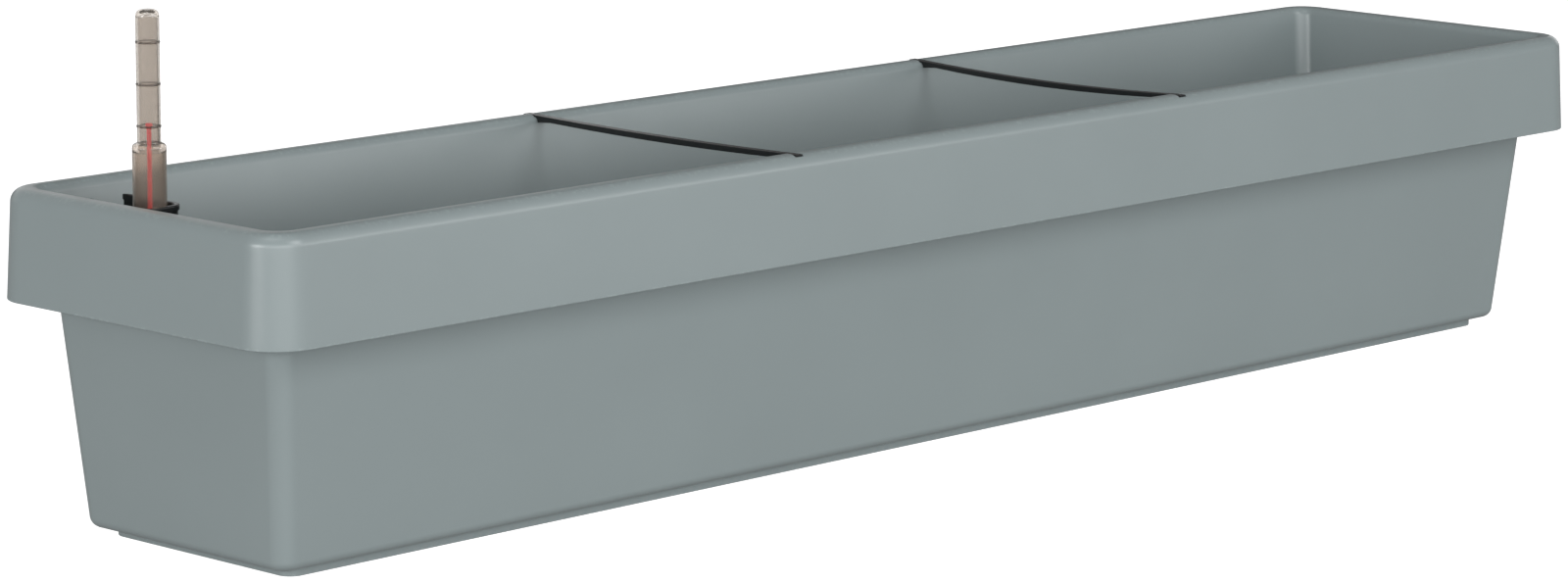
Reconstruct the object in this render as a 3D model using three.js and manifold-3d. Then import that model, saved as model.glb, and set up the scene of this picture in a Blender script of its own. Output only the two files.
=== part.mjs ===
// Self-watering balcony planter. A drafted trough with a folded rim stands on a foot ring. Inside it,
// three perforated false floors on legs part the soil from a water reservoir, felt wicks hang through
// them, and a fill shaft with a float gauge reaches down to the water in the back left corner. Two
// braces tie the long rims together, and a plug closes the overflow in the right end wall.
//
// Millimetres, +Z up. The origin is under the middle of the foot ring, +X runs along the trough and
// +Y to its back.

import * as THREE from 'three';
import { mergeVertices } from 'three/addons/utils/BufferGeometryUtils.js';
import Module from 'manifold-3d';

const wasm = await Module();
wasm.setup();

// ---- Driving dimensions ----

const GAP = 0.3; // between two pieces that touch
const PAST = 1; // how far a cutter runs past the face that it opens
const OVERLAP = 2; // how far two solids reach into each other before they are joined

const RIM = {
  height: 171.8,
  halfLength: 500, // outside, at the top
  halfWidth: 102,
  skirt: 54.4, // how far the folded collar hangs down
  flare: 2.75, // how much wider its lower edge is, on each side
  thickness: 2.6,
  radius: 20, // corners, seen from above
  outerFillet: 6.5,
  innerFillet: 5,
  roofDrop: 4.5, // from the top down to the roof of the gap behind the skirt
  curveDrop: 10, // down to where the gap starts to narrow
  roofInset: 2,
  innerWall: 3.2, // the wall that closes the gap on its inner side, at the roof
};

const BODY = {
  shoulderZ: RIM.height - RIM.skirt,
  shoulderHalfLength: 481.5, // outside, level with the skirt's lower edge
  shoulderHalfWidth: 83.8,
  shoulderRadius: 10.5,
  baseZ: 4.7, // on top of the foot ring
  baseHalfLength: 471.8,
  baseHalfWidth: 73.6,
  baseRadius: 9.5,
  bottomFillet: 5,
};

const FOOT = { halfLength: 460.6, halfWidth: 65.7, radius: 8, thickness: 4 };

// The inside, at the bottom, level with the skirt's lower edge, and just under the rim's inner fillet.
const CAVITY = {
  base: { halfLength: 469.2, halfWidth: 71, radius: 7.5, z: 8 },
  shoulder: { halfLength: 479, halfWidth: 81.3, radius: 8, z: BODY.shoulderZ },
  top: { halfLength: 485.4, halfWidth: 88.6, radius: 8, z: RIM.height - RIM.innerFillet },
};

const FLOOR = {
  topZ: 62,
  thickness: 2.5,
  ribZ: 55, // lower edge of the stiffening rib
  ribInset: 1.5,
  ribThickness: 2,
  halfLength: 472.3, // of all the sections together
  halfWidth: 75,
  radius: 8,
  joint: 0.8, // between two sections
  sections: ['left', 'middle', 'right'],
};

const LEG = { topRadius: 11, footRadius: 8, wall: 1.6, spacingX: 108, y: 46.5, notch: 5 };
const DRAIN_SLOT = { length: 24, width: 3, pitch: 36, outerRowY: 66, innerRowY: 23, shaftMargin: 3 };
const WICK = { width: 22, thickness: 2.4, halfSpan: 36.2, offsetX: 54, footZ: 10, bend: 3 };
const WICK_SLOT = { length: 26, width: 4.4 };

const SHAFT = {
  centreX: -452.2,
  centreY: 53.1,
  halfLength: 12.1, // the tube itself, without its lip
  halfWidth: 22.3,
  frontRadius: 8.5, // the corner that faces the middle of the trough
  radius: 4, // the other three corners
  wall: 2,
  topZ: RIM.height - 7,
  lipHeight: 2.6,
  lipOut: 0.8,
  spoutZ: 150, // lower edge of the pouring notch in the back wall
  guideZ: 120,
  guideHeight: 2,
  guideMargin: 3,
  spigotHeight: 6,
  spigotWall: 1,
};

const GAUGE = {
  x: -452,
  y: 42.8,
  radius: 8.25, // the wide lower tube
  wall: 1.25,
  bottomZ: 14,
  shoulderZ: RIM.height + 20.1,
  neckZ: RIM.height + 22.7,
  midRadius: 7.6, // halfway round the shoulder
  midZ: RIM.height + 21.9,
  slimRadius: 5.7,
  slimWall: 1.2,
  topZ: RIM.height + 87,
  topThickness: 2,
  topChamfer: 1,
  domeRadius: 3,
  markZ: [30.7, 51, 71.3].map((z) => RIM.height + z),
  markOut: 0.3,
  markHalfHeight: 0.45,
};

const GAUGE_FOOT = { bottomZ: CAVITY.base.z + GAP, boreRadius: 4.5, spigotZ: 19, slot: 4, slotHeight: 3.5 };
const FLOAT = { radius: 6.3, bottomZ: 19.4, height: 30, chamfer: 1.2, socketDepth: 15 };
const ROD = {
  radius: 1.1,
  topZ: RIM.height + 32.2,
  knobRadius: 1.75,
  knobTopRadius: 1.05,
  knobHeight: 2.2,
  knobBevel: 0.66,
};

// The bar lies between the rims, and a thin tab at each end lies flush in a recess across the rim.
const BRACE = {
  width: 5,
  lowZ: RIM.height - 3.2,
  topZ: RIM.height - 0.2,
  tabZ: RIM.height - 1,
  tabTipY: 99.2,
  gussetZ: RIM.height - 3.9, // where the underside leaves the rim's inner fillet
  gussetEndY: 79,
  recessGap: 0.4, // on each side of the tab
  recessEndY: 99.8,
};
const BRACES = [
  { name: 'brace_left', x: -150.3, sag: 1.2 },
  { name: 'brace_right', x: 148.3, sag: 2.5 },
];
const PEG = { y: 94.4, radius: 1.5, clearance: 0.4, length: 5.5 };

const OVERFLOW = {
  z: 50,
  holeRadius: 4.6,
  bossRadius: 9,
  bossX: 480.5,
  bossRoot: 2.2, // how deep the boss sits in the end wall
  stemRadius: 4.25,
  stemTipX: 470,
  stemTipRadius: 3.65,
  stemTaper: 2,
  flangeRadius: 7.5,
  flangeThickness: 2,
  gripRadius: 3.4,
  gripLength: 4.5,
};

const CORNER_DIVISIONS = 4; // a rounded corner has twice as many edges
const FINE_SEGMENTS = 20;
const COARSE_SEGMENTS = 12;

const MATERIALS = {
  greyGreen: { color: 0x8c9795, roughness: 0.45, metalness: 0 },
  black: { color: 0x17181a, roughness: 0.4, metalness: 0 },
  charcoal: { color: 0x2b2d2e, roughness: 0.5, metalness: 0 },
  smoke: { color: 0x85796c, roughness: 0.12, metalness: 0 },
  red: { color: 0xb01420, roughness: 0.35, metalness: 0 },
  foam: { color: 0xe8e6df, roughness: 0.8, metalness: 0 },
  felt: { color: 0xd9d6cc, roughness: 0.95, metalness: 0 },
};

// ---- Making and combining closed shapes ----

function solidOf(geometry) {
  const bare = geometry.clone();
  bare.deleteAttribute('normal');
  bare.deleteAttribute('uv');
  const merged = mergeVertices(bare);
  return new wasm.Manifold(new wasm.Mesh({
    numProp: 3,
    vertProperties: Float32Array.from(merged.attributes.position.array),
    triVerts: Uint32Array.from(merged.index.array),
  }));
}

function geometryOf(solid) {
  const { vertProperties, triVerts } = solid.getMesh();
  const geometry = new THREE.BufferGeometry();
  geometry.setAttribute('position', new THREE.BufferAttribute(vertProperties, 3));
  geometry.setIndex(new THREE.BufferAttribute(triVerts, 1));
  geometry.computeVertexNormals();
  return geometry;
}

const join = (...solids) => solids.reduce((whole, solid) => whole.add(solid));
const cut = (solid, ...tools) => tools.reduce((rest, tool) => rest.subtract(tool), solid);

// A rounded rectangle seen from above, centred on the origin.
function roundedRectangle(halfLength, halfWidth, radius) {
  const x = halfLength - radius;
  const y = halfWidth - radius;
  const quarter = Math.PI / 2;
  return new THREE.Shape()
    .absarc(x, y, radius, 0, quarter)
    .absarc(-x, y, radius, quarter, 2 * quarter)
    .absarc(-x, -y, radius, 2 * quarter, 3 * quarter)
    .absarc(x, -y, radius, 3 * quarter, 4 * quarter);
}

// A closed skin through rounded rectangles of one height after another, lowest first.
function loft(levels) {
  const rings = levels.map(({ halfLength, halfWidth, radius, z }) => {
    const outline = roundedRectangle(halfLength, halfWidth, radius);
    return outline.getPoints(CORNER_DIVISIONS).map((point) => [point.x, point.y, z]);
  });
  const count = rings[0].length;
  const index = [];
  for (let level = 1; level < rings.length; level += 1) {
    const high = level * count;
    const low = high - count;
    for (let corner = 0; corner < count; corner += 1) {
      const next = (corner + 1) % count;
      index.push(low + corner, low + next, high + next);
      index.push(low + corner, high + next, high + corner);
    }
  }
  const top = (rings.length - 1) * count;
  for (let corner = 1; corner < count - 1; corner += 1) {
    index.push(0, corner + 1, corner);
    index.push(top, top + corner, top + corner + 1);
  }
  const geometry = new THREE.BufferGeometry();
  geometry.setAttribute('position', new THREE.Float32BufferAttribute(rings.flat(2), 3));
  geometry.setIndex(index);
  return solidOf(geometry);
}

function extrude(shape, bottomZ, topZ) {
  const geometry = new THREE.ExtrudeGeometry(shape, {
    depth: topZ - bottomZ,
    bevelEnabled: false,
    curveSegments: 2 * CORNER_DIVISIONS,
  });
  return solidOf(geometry.translate(0, 0, bottomZ));
}

// A solid of revolution about +Z, from the radius and height of each profile point.
function turned(profile, segments) {
  const points = profile.map(([radius, z]) => new THREE.Vector2(radius, z));
  return new THREE.LatheGeometry(points, segments).rotateX(Math.PI / 2);
}

function box(minimum, maximum) {
  const low = new THREE.Vector3(...minimum);
  const high = new THREE.Vector3(...maximum);
  const size = high.clone().sub(low);
  const centre = low.clone().add(high).divideScalar(2);
  return solidOf(new THREE.BoxGeometry(size.x, size.y, size.z).translate(centre.x, centre.y, centre.z));
}

function post(x, y, radius, bottomZ, topZ) {
  const geometry = new THREE.CylinderGeometry(radius, radius, topZ - bottomZ, COARSE_SEGMENTS);
  return solidOf(geometry.rotateX(Math.PI / 2).translate(x, y, (bottomZ + topZ) / 2));
}

// Quarter-circle steps of a fillet: how far in and how far along it is at each.
function filletSteps(radius, steps) {
  return Array.from({ length: steps + 1 }, (_, step) => {
    const angle = (step / steps) * (Math.PI / 2);
    return { inset: radius * (1 - Math.cos(angle)), rise: radius * Math.sin(angle) };
  });
}

const mix = THREE.MathUtils.lerp;

// ---- Trough ----

function bodyLevel(z, inset = 0) {
  const share = (z - BODY.baseZ) / (BODY.shoulderZ - BODY.baseZ);
  return {
    halfLength: mix(BODY.baseHalfLength, BODY.shoulderHalfLength, share) - inset,
    halfWidth: mix(BODY.baseHalfWidth, BODY.shoulderHalfWidth, share) - inset,
    radius: mix(BODY.baseRadius, BODY.shoulderRadius, share) - inset,
    z,
  };
}

function skirtLevel(z, inset = 0) {
  const out = (RIM.flare * (RIM.height - z)) / RIM.skirt - inset;
  return {
    halfLength: RIM.halfLength + out,
    halfWidth: RIM.halfWidth + out,
    radius: RIM.radius + out,
    z,
  };
}

// One of the cavity's levels, made wider all round and moved up.
function widened(level, outset, rise = 0) {
  return {
    halfLength: level.halfLength + outset,
    halfWidth: level.halfWidth + outset,
    radius: level.radius + outset,
    z: level.z + rise,
  };
}

function troughOutside() {
  const bottomEdge = filletSteps(BODY.bottomFillet, 3).reverse()
    .map(({ inset, rise }) => bodyLevel(BODY.baseZ + BODY.bottomFillet - rise, inset));
  const body = loft([...bottomEdge, bodyLevel(BODY.shoulderZ + OVERLAP)]);
  const topEdge = filletSteps(RIM.outerFillet, 4)
    .map(({ inset, rise }) => skirtLevel(RIM.height - RIM.outerFillet + rise, inset));
  const skirt = loft([skirtLevel(BODY.shoulderZ), ...topEdge]);
  const foot = loft([{ ...FOOT, z: 0 }, { ...FOOT, z: BODY.baseZ + OVERLAP }]);
  return join(body, skirt, foot);
}

function cavity() {
  const innerEdge = filletSteps(RIM.innerFillet, 4)
    .map(({ inset, rise }) => widened(CAVITY.top, inset, rise));
  const above = widened(CAVITY.top, RIM.innerFillet, RIM.innerFillet + PAST);
  return loft([CAVITY.base, CAVITY.shoulder, ...innerEdge, above]);
}

// The gap between the skirt and the wall behind it, open at the bottom.
function skirtGap() {
  const bottomZ = BODY.shoulderZ - PAST;
  const roofZ = RIM.height - RIM.roofDrop;
  const outer = loft([
    skirtLevel(bottomZ, RIM.thickness),
    skirtLevel(RIM.height - RIM.curveDrop, RIM.thickness),
    skirtLevel(roofZ, RIM.thickness + RIM.roofInset),
  ]);
  const wall = loft([
    bodyLevel(bottomZ - PAST),
    bodyLevel(BODY.shoulderZ),
    widened(CAVITY.top, RIM.innerWall, PAST),
  ]);
  return cut(outer, wall);
}

function footRecess() {
  const { halfLength, halfWidth, radius, thickness } = FOOT;
  const inside = {
    halfLength: halfLength - thickness,
    halfWidth: halfWidth - thickness,
    radius: radius - thickness,
  };
  return loft([{ ...inside, z: -PAST }, { ...inside, z: BODY.baseZ }]);
}

// A recess runs over the rim's crest, from the cavity out to the tab's tip.
function braceRecesses() {
  const halfWidth = BRACE.width / 2 + BRACE.recessGap;
  const innerY = CAVITY.top.halfWidth - PAST;
  const outerY = BRACE.recessEndY;
  const bottomZ = BRACE.tabZ - GAP;
  const topZ = RIM.height + PAST;
  return BRACES.flatMap(({ x }) => [
    box([x - halfWidth, innerY, bottomZ], [x + halfWidth, outerY, topZ]),
    box([x - halfWidth, -outerY, bottomZ], [x + halfWidth, -innerY, topZ]),
  ]);
}

function pegHoles() {
  const bottomZ = RIM.height - RIM.curveDrop;
  const topZ = RIM.height + PAST;
  return BRACES.flatMap(({ x }) => [-PEG.y, PEG.y]
    .map((y) => post(x, y, PEG.radius + PEG.clearance, bottomZ, topZ)));
}

// A solid of revolution about +X, through the overflow in the right end wall.
function turnedAboutOverflow(profile) {
  return solidOf(turned(profile, FINE_SEGMENTS).rotateY(Math.PI / 2).translate(0, 0, OVERFLOW.z));
}

function overflowBoss() {
  const { bossRadius, bossX, bossRoot } = OVERFLOW;
  const rootX = bodyLevel(OVERFLOW.z).halfLength - bossRoot;
  return turnedAboutOverflow([[0, rootX], [bossRadius, rootX], [bossRadius, bossX], [0, bossX]]);
}

function overflowHole() {
  const { holeRadius, bossX, stemTipX } = OVERFLOW;
  const insideX = stemTipX - PAST;
  const outsideX = bossX + PAST;
  return turnedAboutOverflow([[0, insideX], [holeRadius, insideX], [holeRadius, outsideX], [0, outsideX]]);
}

function planterBox() {
  const outside = join(troughOutside(), overflowBoss());
  return cut(outside, cavity(), skirtGap(), footRecess(), overflowHole(), ...braceRecesses(), ...pegHoles());
}

function overflowPlug() {
  const { stemRadius, stemTipX, stemTipRadius, stemTaper, flangeRadius, gripRadius } = OVERFLOW;
  const flangeX = OVERFLOW.bossX + GAP;
  const gripX = flangeX + OVERFLOW.flangeThickness;
  const endX = gripX + OVERFLOW.gripLength;
  return turnedAboutOverflow([
    [0, stemTipX],
    [stemTipRadius, stemTipX],
    [stemRadius, stemTipX + stemTaper],
    [stemRadius, flangeX],
    [flangeRadius, flangeX],
    [flangeRadius, gripX],
    [gripRadius, gripX],
    [gripRadius, endX],
    [0, endX],
  ]);
}

// ---- False floor ----

const SECTION_LENGTH = (2 * (FLOOR.halfLength - FLOOR.joint)) / FLOOR.sections.length;
const sectionX = (section) => (section - 1) * (SECTION_LENGTH + FLOOR.joint);
const plateZ = FLOOR.topZ - FLOOR.thickness;

// The whole floor's outline, cut down to one section by an upright box.
function sectionSlab(section, inset, bottomZ, topZ) {
  const { halfLength, halfWidth, radius } = FLOOR;
  const outline = roundedRectangle(halfLength - inset, halfWidth - inset, radius - inset);
  const x = sectionX(section);
  const reach = SECTION_LENGTH / 2 - inset;
  const room = box([x - reach, -halfWidth, bottomZ - PAST], [x + reach, halfWidth, topZ + PAST]);
  return extrude(outline, bottomZ, topZ).intersect(room);
}

// The shaft seen from above. The corners beside the end wall are tighter than the other two.
function shaftOutline(inset) {
  const frontRadius = SHAFT.frontRadius - inset;
  const radius = SHAFT.radius - inset;
  const x = SHAFT.halfLength - SHAFT.radius;
  const y = SHAFT.halfWidth - SHAFT.radius;
  const frontX = SHAFT.halfLength - SHAFT.frontRadius;
  const frontY = SHAFT.halfWidth - SHAFT.frontRadius;
  const quarter = Math.PI / 2;
  return new THREE.Shape()
    .absarc(x, y, radius, 0, quarter)
    .absarc(-x, y, radius, quarter, 2 * quarter)
    .absarc(-x, -y, radius, 2 * quarter, 3 * quarter)
    .absarc(frontX, -frontY, frontRadius, 3 * quarter, 4 * quarter);
}

function shaftPrism(inset, bottomZ, topZ) {
  return extrude(shaftOutline(inset), bottomZ, topZ).translate([SHAFT.centreX, SHAFT.centreY, 0]);
}

function legPlaces(section) {
  const x = sectionX(section);
  return [-LEG.spacingX, 0, LEG.spacingX].flatMap((along) => [-LEG.y, LEG.y].map((y) => [x + along, y]));
}

// A hollow leg, open underneath, with two crossed notches that let the water in.
function leg(x, y) {
  const footZ = CAVITY.base.z + GAP;
  const roofZ = plateZ - LEG.wall;
  const topZ = plateZ + PAST;
  const cone = solidOf(turned([
    [0, roofZ],
    [LEG.topRadius - LEG.wall, roofZ],
    [LEG.footRadius - LEG.wall, footZ],
    [LEG.footRadius, footZ],
    [LEG.topRadius, topZ],
    [0, topZ],
  ], COARSE_SEGMENTS).translate(x, y, 0));
  const half = LEG.notch / 2;
  const reach = LEG.topRadius + PAST;
  const notchTop = footZ + LEG.notch;
  return cut(
    cone,
    box([x - reach, y - half, footZ - PAST], [x + reach, y + half, notchTop]),
    box([x - half, y - reach, footZ - PAST], [x + half, y + reach, notchTop]),
  );
}

function drainSlotPlaces(section) {
  const x = sectionX(section);
  const steps = [-3.5, -2.5, -1.5, -0.5, 0.5, 1.5, 2.5, 3.5];
  const inner = steps.filter((step) => Math.abs(step) !== 1.5);
  const row = (list, y) => list.map((step) => [x + step * DRAIN_SLOT.pitch, y]);
  const { outerRowY, innerRowY } = DRAIN_SLOT;
  return [
    ...row(steps, -outerRowY),
    ...row(inner, -innerRowY),
    ...row(inner, 0),
    ...row(inner, innerRowY),
    ...row(steps, outerRowY),
  ];
}

function underShaft([x, y]) {
  const { length, shaftMargin } = DRAIN_SLOT;
  return Math.abs(x - SHAFT.centreX) < SHAFT.halfLength + length / 2 + shaftMargin
    && Math.abs(y - SHAFT.centreY) < SHAFT.halfWidth + shaftMargin;
}

const wickX = (section) => [-WICK.offsetX, WICK.offsetX].map((offset) => sectionX(section) + offset);

function wickSlots(section) {
  const y = WICK.halfSpan - WICK.thickness / 2;
  return wickX(section).flatMap((x) => [-y, y].map((side) => [x, side]));
}

function slotCutters(places, length, width) {
  return places.map(([x, y]) => box(
    [x - length / 2, y - width / 2, plateZ - PAST],
    [x + length / 2, y + width / 2, FLOOR.topZ + PAST],
  ));
}

function floorSection(section) {
  const { ribInset, ribThickness, ribZ } = FLOOR;
  const rib = cut(
    sectionSlab(section, ribInset, ribZ, plateZ + PAST),
    sectionSlab(section, ribInset + ribThickness, ribZ - PAST, plateZ),
  );
  const plate = join(
    sectionSlab(section, 0, plateZ, FLOOR.topZ),
    rib,
    ...legPlaces(section).map(([x, y]) => leg(x, y)),
  );
  const drains = drainSlotPlaces(section).filter((place) => !underShaft(place));
  const open = cut(
    plate,
    ...slotCutters(drains, DRAIN_SLOT.length, DRAIN_SLOT.width),
    ...slotCutters(wickSlots(section), WICK_SLOT.length, WICK_SLOT.width),
  );
  return section === 0 ? withShaftSpigot(open) : open;
}

// The left section's hole down to the water, inside the spigot that the fill shaft stands over.
function withShaftSpigot(floor) {
  const outside = SHAFT.wall + GAP;
  const spigotTop = FLOOR.topZ + SHAFT.spigotHeight;
  const spigot = shaftPrism(outside, FLOOR.topZ - PAST, spigotTop);
  const hole = shaftPrism(outside + SHAFT.spigotWall, FLOOR.ribZ - PAST, spigotTop + PAST);
  return cut(join(floor, spigot), hole);
}

// ---- Wicks: a felt strip lies across the floor, and both its tails hang in the water ----

function wick(x) {
  const { width, thickness, halfSpan, footZ, bend } = WICK;
  const lowZ = FLOOR.topZ + GAP;
  const highZ = lowZ + thickness;
  const outline = new THREE.Shape();
  outline.moveTo(halfSpan, footZ);
  outline.absarc(halfSpan - bend, highZ - bend, bend, 0, Math.PI / 2);
  outline.absarc(-halfSpan + bend, highZ - bend, bend, Math.PI / 2, Math.PI);
  outline.lineTo(-halfSpan, footZ);
  outline.lineTo(-halfSpan + thickness, footZ);
  outline.lineTo(-halfSpan + thickness, lowZ);
  outline.lineTo(halfSpan - thickness, lowZ);
  outline.lineTo(halfSpan - thickness, footZ);
  return acrossTrough(outline, x, width);
}

// An outline drawn in Y and Z, given its width along X.
function acrossTrough(outline, x, width) {
  const geometry = new THREE.ExtrudeGeometry(outline, {
    depth: width,
    bevelEnabled: false,
    curveSegments: CORNER_DIVISIONS,
  });
  geometry.translate(0, 0, -width / 2).rotateX(Math.PI / 2).rotateZ(Math.PI / 2);
  return solidOf(geometry.translate(x, 0, 0));
}

// ---- Fill shaft ----

function fillShaft() {
  const bottomZ = FLOOR.topZ + GAP;
  const { topZ, lipHeight, lipOut, wall, guideZ, centreX, centreY, halfWidth, halfLength } = SHAFT;
  const guideTop = guideZ + SHAFT.guideHeight;
  const tube = join(shaftPrism(0, bottomZ, topZ), shaftPrism(-lipOut, topZ - lipHeight, topZ));
  const bore = shaftPrism(wall, bottomZ - PAST, topZ + PAST);
  const gaugeHole = post(GAUGE.x, GAUGE.y, GAUGE.radius + 2 * GAP, guideZ - PAST, guideTop + PAST);
  const nearHalf = box(
    [centreX - halfLength, centreY - halfWidth, guideZ],
    [centreX + halfLength, GAUGE.y + GAUGE.radius + SHAFT.guideMargin, guideTop],
  );
  const guide = cut(shaftPrism(wall / 2, guideZ, guideTop).intersect(nearHalf), gaugeHole);
  const spout = box(
    [centreX - halfLength + SHAFT.radius, centreY + halfWidth - wall - PAST, SHAFT.spoutZ],
    [centreX + halfLength - wall, centreY + halfWidth + lipOut + PAST, topZ + PAST],
  );
  return cut(join(cut(tube, bore), guide), spout);
}

// ---- Float gauge ----

function atGauge(geometry) {
  return geometry.translate(GAUGE.x, GAUGE.y, 0);
}

function gaugeTube() {
  const { radius, wall, bottomZ, shoulderZ, neckZ, slimRadius, topZ, domeRadius } = GAUGE;
  const boreRadius = slimRadius - GAUGE.slimWall;
  const roofZ = topZ - GAUGE.topThickness;
  const marks = GAUGE.markZ.flatMap((z) => [
    [slimRadius, z - GAUGE.markHalfHeight],
    [slimRadius + GAUGE.markOut, z],
    [slimRadius, z + GAUGE.markHalfHeight],
  ]);
  const dome = filletSteps(domeRadius, 3)
    .map(({ inset, rise }) => [slimRadius - inset, topZ - domeRadius + rise]);
  return atGauge(turned([
    [radius - wall, bottomZ],
    [radius, bottomZ],
    [radius, shoulderZ],
    [GAUGE.midRadius, GAUGE.midZ],
    [slimRadius, neckZ],
    ...marks,
    ...dome,
    [0, topZ],
    [0, roofZ],
    [boreRadius - GAUGE.topChamfer, roofZ],
    [boreRadius, roofZ - GAUGE.topChamfer],
    [boreRadius, neckZ - wall],
    [radius - wall, shoulderZ - wall],
    [radius - wall, bottomZ],
  ], FINE_SEGMENTS));
}

function gaugeFoot() {
  const { bottomZ, boreRadius, spigotZ, slot, slotHeight } = GAUGE_FOOT;
  const flangeZ = GAUGE.bottomZ - GAP;
  const spigotRadius = GAUGE.radius - GAUGE.wall - GAP;
  const ring = solidOf(atGauge(turned([
    [boreRadius, bottomZ],
    [GAUGE.radius, bottomZ],
    [GAUGE.radius, flangeZ],
    [spigotRadius, flangeZ],
    [spigotRadius, spigotZ],
    [boreRadius, spigotZ],
    [boreRadius, bottomZ],
  ], FINE_SEGMENTS)));
  const reach = GAUGE.radius + PAST;
  const half = slot / 2;
  const lowZ = bottomZ - PAST;
  const highZ = bottomZ + slotHeight;
  return cut(
    ring,
    box([GAUGE.x - reach, GAUGE.y - half, lowZ], [GAUGE.x + reach, GAUGE.y + half, highZ]),
    box([GAUGE.x - half, GAUGE.y - reach, lowZ], [GAUGE.x + half, GAUGE.y + reach, highZ]),
  );
}

function floatBody() {
  const { radius, bottomZ, height, chamfer, socketDepth } = FLOAT;
  const topZ = bottomZ + height;
  const socketRadius = ROD.radius + GAP;
  return atGauge(turned([
    [0, bottomZ],
    [radius - chamfer, bottomZ],
    [radius, bottomZ + chamfer],
    [radius, topZ - chamfer],
    [radius - chamfer, topZ],
    [socketRadius, topZ],
    [socketRadius, topZ - socketDepth],
    [0, topZ - socketDepth],
  ], FINE_SEGMENTS));
}

function floatRod() {
  const { radius, topZ, knobRadius, knobTopRadius, knobHeight, knobBevel } = ROD;
  const bottomZ = FLOAT.bottomZ + FLOAT.height - FLOAT.socketDepth + GAP;
  return atGauge(turned([
    [0, bottomZ],
    [radius, bottomZ],
    [radius, topZ - knobHeight],
    [knobRadius, topZ - knobHeight + knobBevel],
    [knobRadius, topZ - knobBevel],
    [knobTopRadius, topZ],
    [0, topZ],
  ], COARSE_SEGMENTS));
}

// ---- Cross braces ----

// Seen along the trough: a sagging bar, a gusset at each end, and a thin tab over each rim.
function braceOutline(sag) {
  const { lowZ, topZ, tabZ, tabTipY, gussetZ, gussetEndY } = BRACE;
  const crestY = CAVITY.top.halfWidth + RIM.innerFillet;
  const filletZ = CAVITY.top.z;
  const clearance = RIM.innerFillet + GAP;
  const down = Math.PI / 2;
  const start = Math.acos((tabZ - filletZ) / clearance);
  const end = Math.acos((gussetZ - filletZ) / clearance);
  const gussetY = crestY - clearance * Math.sin(end);
  const outline = new THREE.Shape();
  outline.moveTo(-gussetEndY, lowZ);
  outline.quadraticCurveTo(0, lowZ - 2 * sag, gussetEndY, lowZ);
  outline.lineTo(gussetY, gussetZ);
  outline.absarc(crestY, filletZ, clearance, down + end, down + start, true);
  outline.lineTo(tabTipY, tabZ);
  outline.lineTo(tabTipY, topZ);
  outline.lineTo(crestY, topZ);
  outline.quadraticCurveTo(0, topZ - 2 * sag, -crestY, topZ);
  outline.lineTo(-tabTipY, topZ);
  outline.lineTo(-tabTipY, tabZ);
  outline.absarc(-crestY, filletZ, clearance, down - start, down - end, true);
  outline.lineTo(-gussetY, gussetZ);
  return outline;
}

function brace({ x, sag }) {
  const bar = acrossTrough(braceOutline(sag), x, BRACE.width);
  const rootZ = (BRACE.tabZ + BRACE.topZ) / 2;
  const pegs = [-PEG.y, PEG.y].map((y) => post(x, y, PEG.radius, rootZ - PEG.length, rootZ));
  return join(bar, ...pegs);
}

// ---- Assembly ----

const planter = new THREE.Group();

function add(name, shape, look) {
  const geometry = shape.isBufferGeometry ? shape : geometryOf(shape);
  const mesh = new THREE.Mesh(geometry, new THREE.MeshStandardMaterial(MATERIALS[look]));
  mesh.name = name;
  planter.add(mesh);
}

add('planter_box', planterBox(), 'greyGreen');
add('overflow_plug', overflowPlug(), 'black');

FLOOR.sections.forEach((side, section) => {
  add(`floor_${side}`, floorSection(section), 'charcoal');
  wickX(section).forEach((x, index) => add(`wick_${side}_${index + 1}`, wick(x), 'felt'));
});

add('fill_shaft', fillShaft(), 'black');
add('gauge_tube', gaugeTube(), 'smoke');
add('gauge_foot', gaugeFoot(), 'black');
add('float_body', floatBody(), 'foam');
add('float_rod', floatRod(), 'red');
BRACES.forEach((each) => add(each.name, brace(each), 'black'));

export default planter;
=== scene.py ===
"""Self-watering balcony planter: fine meshes, materials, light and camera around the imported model.

Meshes are drawn in millimetres, in the model's own frame, and scaled to metres when a piece is
made. Z = 0 is the surface that the planter stands on, X runs along the trough and Y to its back.
"""

import math
from collections import namedtuple

import bmesh
import bpy
from mathutils import Matrix, Vector, noise


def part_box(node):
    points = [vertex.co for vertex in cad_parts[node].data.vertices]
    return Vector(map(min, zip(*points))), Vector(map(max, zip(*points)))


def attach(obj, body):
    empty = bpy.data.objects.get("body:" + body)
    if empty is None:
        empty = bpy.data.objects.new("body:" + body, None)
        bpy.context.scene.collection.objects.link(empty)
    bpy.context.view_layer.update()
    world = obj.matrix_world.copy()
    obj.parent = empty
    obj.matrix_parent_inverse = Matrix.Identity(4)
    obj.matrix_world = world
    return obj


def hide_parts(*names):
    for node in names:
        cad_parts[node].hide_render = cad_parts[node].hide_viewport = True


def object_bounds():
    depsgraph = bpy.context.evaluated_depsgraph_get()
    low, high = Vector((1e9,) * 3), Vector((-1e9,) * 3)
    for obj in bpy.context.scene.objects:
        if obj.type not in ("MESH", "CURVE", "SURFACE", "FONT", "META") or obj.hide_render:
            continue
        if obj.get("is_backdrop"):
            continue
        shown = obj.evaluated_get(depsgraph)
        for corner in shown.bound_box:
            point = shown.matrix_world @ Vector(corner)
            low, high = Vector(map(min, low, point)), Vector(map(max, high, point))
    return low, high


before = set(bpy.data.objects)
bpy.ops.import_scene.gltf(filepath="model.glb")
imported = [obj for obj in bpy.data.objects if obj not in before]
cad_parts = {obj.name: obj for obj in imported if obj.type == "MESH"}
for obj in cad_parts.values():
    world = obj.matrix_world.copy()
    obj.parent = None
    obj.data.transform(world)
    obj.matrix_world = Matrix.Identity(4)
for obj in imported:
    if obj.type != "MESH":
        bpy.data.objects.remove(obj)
cad_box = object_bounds()

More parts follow.
